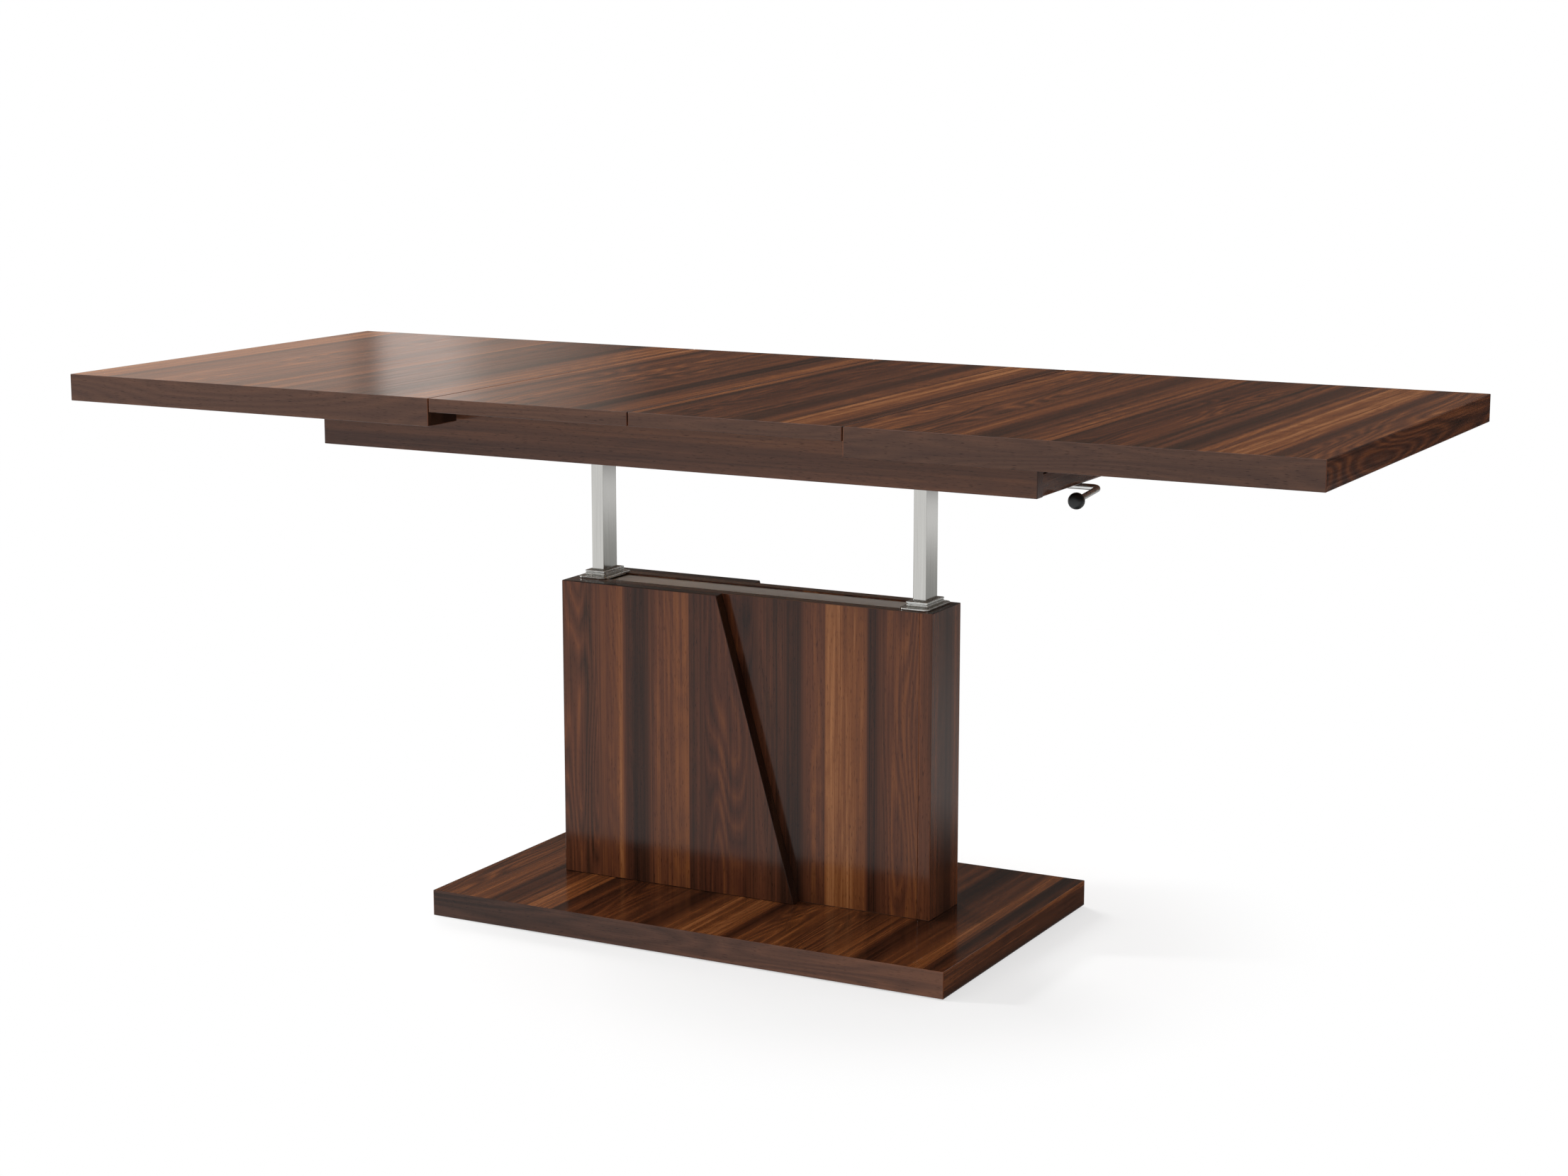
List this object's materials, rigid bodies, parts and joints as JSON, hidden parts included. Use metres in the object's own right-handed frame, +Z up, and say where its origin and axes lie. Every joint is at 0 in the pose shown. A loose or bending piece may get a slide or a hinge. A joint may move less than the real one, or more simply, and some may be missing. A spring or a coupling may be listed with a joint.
{
  "type": "extending lift coffee table",
  "caption": "Pedestal coffee table with sliding half tops, lift-out leaves, a lifting apron frame on telescopic posts, a column with slanted raised panels and a release lever.",
  "frame": {"origin": "on the floor, under the middle of the base", "axes": "+X along the table towards the lever end, -Y the front, +Z up"},
  "size_m": [1.8, 0.695, 0.739],
  "materials": {
    "walnut_board": "walnut decor foil, satin",
    "beech": "planed beech",
    "satin_steel": "satin",
    "chrome": "polished plate",
    "zinc_steel": "zinc plated",
    "black_steel": "black paint",
    "nylon": "moulded nylon",
    "knob_plastic": "moulded, satin gloss",
    "felt": "pressed felt"
  },
  "bodies": {
    "top_frame": {"back_guide_strip": "nylon", "back_rail": "walnut_board", "corner_blocks": "beech", "frame_dowels": "beech", "front_guide_strip": "nylon", "front_rail": "walnut_board", "gas_cylinders": "black_steel", "leaf_pads": "felt", "left_bearer": "beech", "left_end_rail": "walnut_board", "left_post": "satin_steel", "left_post_plate": "zinc_steel", "lever_blocks": "nylon", "plate_screws": "zinc_steel", "right_bearer": "beech", "right_end_rail": "walnut_board", "right_post": "satin_steel", "right_post_plate": "zinc_steel", "shaft_blocks": "nylon"},
    "base": {"base_bolts": "zinc_steel", "base_glides": "felt", "base_plate": "walnut_board", "column_back_panel": "walnut_board", "column_front_panel": "walnut_board", "column_left_side": "walnut_board", "column_right_side": "walnut_board", "guide_bushes": "nylon", "left_collar": "chrome", "left_outer_tube": "zinc_steel", "lift_foot_plate": "zinc_steel", "piston_rods": "zinc_steel", "raised_back_panel": "walnut_board", "raised_front_panel": "walnut_board", "right_collar": "chrome", "right_outer_tube": "zinc_steel", "tie_strip": "chrome"},
    "left_top": {"left_back_lip": "walnut_board", "left_back_runner": "beech", "left_end_lip": "walnut_board", "left_front_lip": "walnut_board", "left_front_runner": "beech", "left_top_panel": "walnut_board"},
    "left_leaf": {"left_leaf": "walnut_board", "left_leaf_battens": "beech"},
    "lever": {"lever_crank": "zinc_steel", "lever_knob": "knob_plastic", "lever_rod": "chrome"},
    "release_shaft": {"release_shaft": "zinc_steel"},
    "right_top": {"right_back_lip": "walnut_board", "right_back_runner": "beech", "right_end_lip": "walnut_board", "right_front_lip": "walnut_board", "right_front_runner": "beech", "right_top_panel": "walnut_board"},
    "right_leaf": {"right_leaf": "walnut_board", "right_leaf_battens": "beech"},
    "valve_pins": {"valve_pins": "zinc_steel"}
  },
  "joints": [
    {"name": "lift", "type": "slide", "parent": "base", "child": "top_frame", "axis": [0, 0, 1], "range_m": [-0.18, 0]},
    {"name": "left_half_slide", "type": "slide", "parent": "top_frame", "child": "left_top", "axis": [-1, 0, 0], "range_m": [0, 0.02]},
    {"name": "right_half_slide", "type": "slide", "parent": "top_frame", "child": "right_top", "axis": [1, 0, 0], "range_m": [0, 0.02]},
    {"name": "left_leaf_lift", "type": "slide", "parent": "top_frame", "child": "left_leaf", "axis": [0, 0, 1], "range_m": [0, 0.08]},
    {"name": "right_leaf_lift", "type": "slide", "parent": "top_frame", "child": "right_leaf", "axis": [0, 0, 1], "range_m": [0, 0.08]},
    {"name": "lever_turn", "type": "hinge", "parent": "top_frame", "child": "lever", "pos_m": [0.3, -0.112, 0.6505], "axis": [-1, 0, 0], "range_deg": [0, 20], "stiffness_Nm_per_rad": 0.6, "springref_deg": -22.92},
    {"name": "release_turn", "type": "hinge", "parent": "top_frame", "child": "release_shaft", "pos_m": [0, -0.04, 0.686], "axis": [-1, 0, 0], "range_deg": [0, 5]},
    {"name": "valve_press", "type": "slide", "parent": "top_frame", "child": "valve_pins", "axis": [0, 0, -1], "range_m": [0, 0.004]}
  ],
  "couplings": [
    {"joint": "release_turn", "follows": "lever_turn", "ratio": 0.21739},
    {"joint": "valve_press", "follows": "lever_turn", "m_per_rad": 0.0086956}
  ]
}
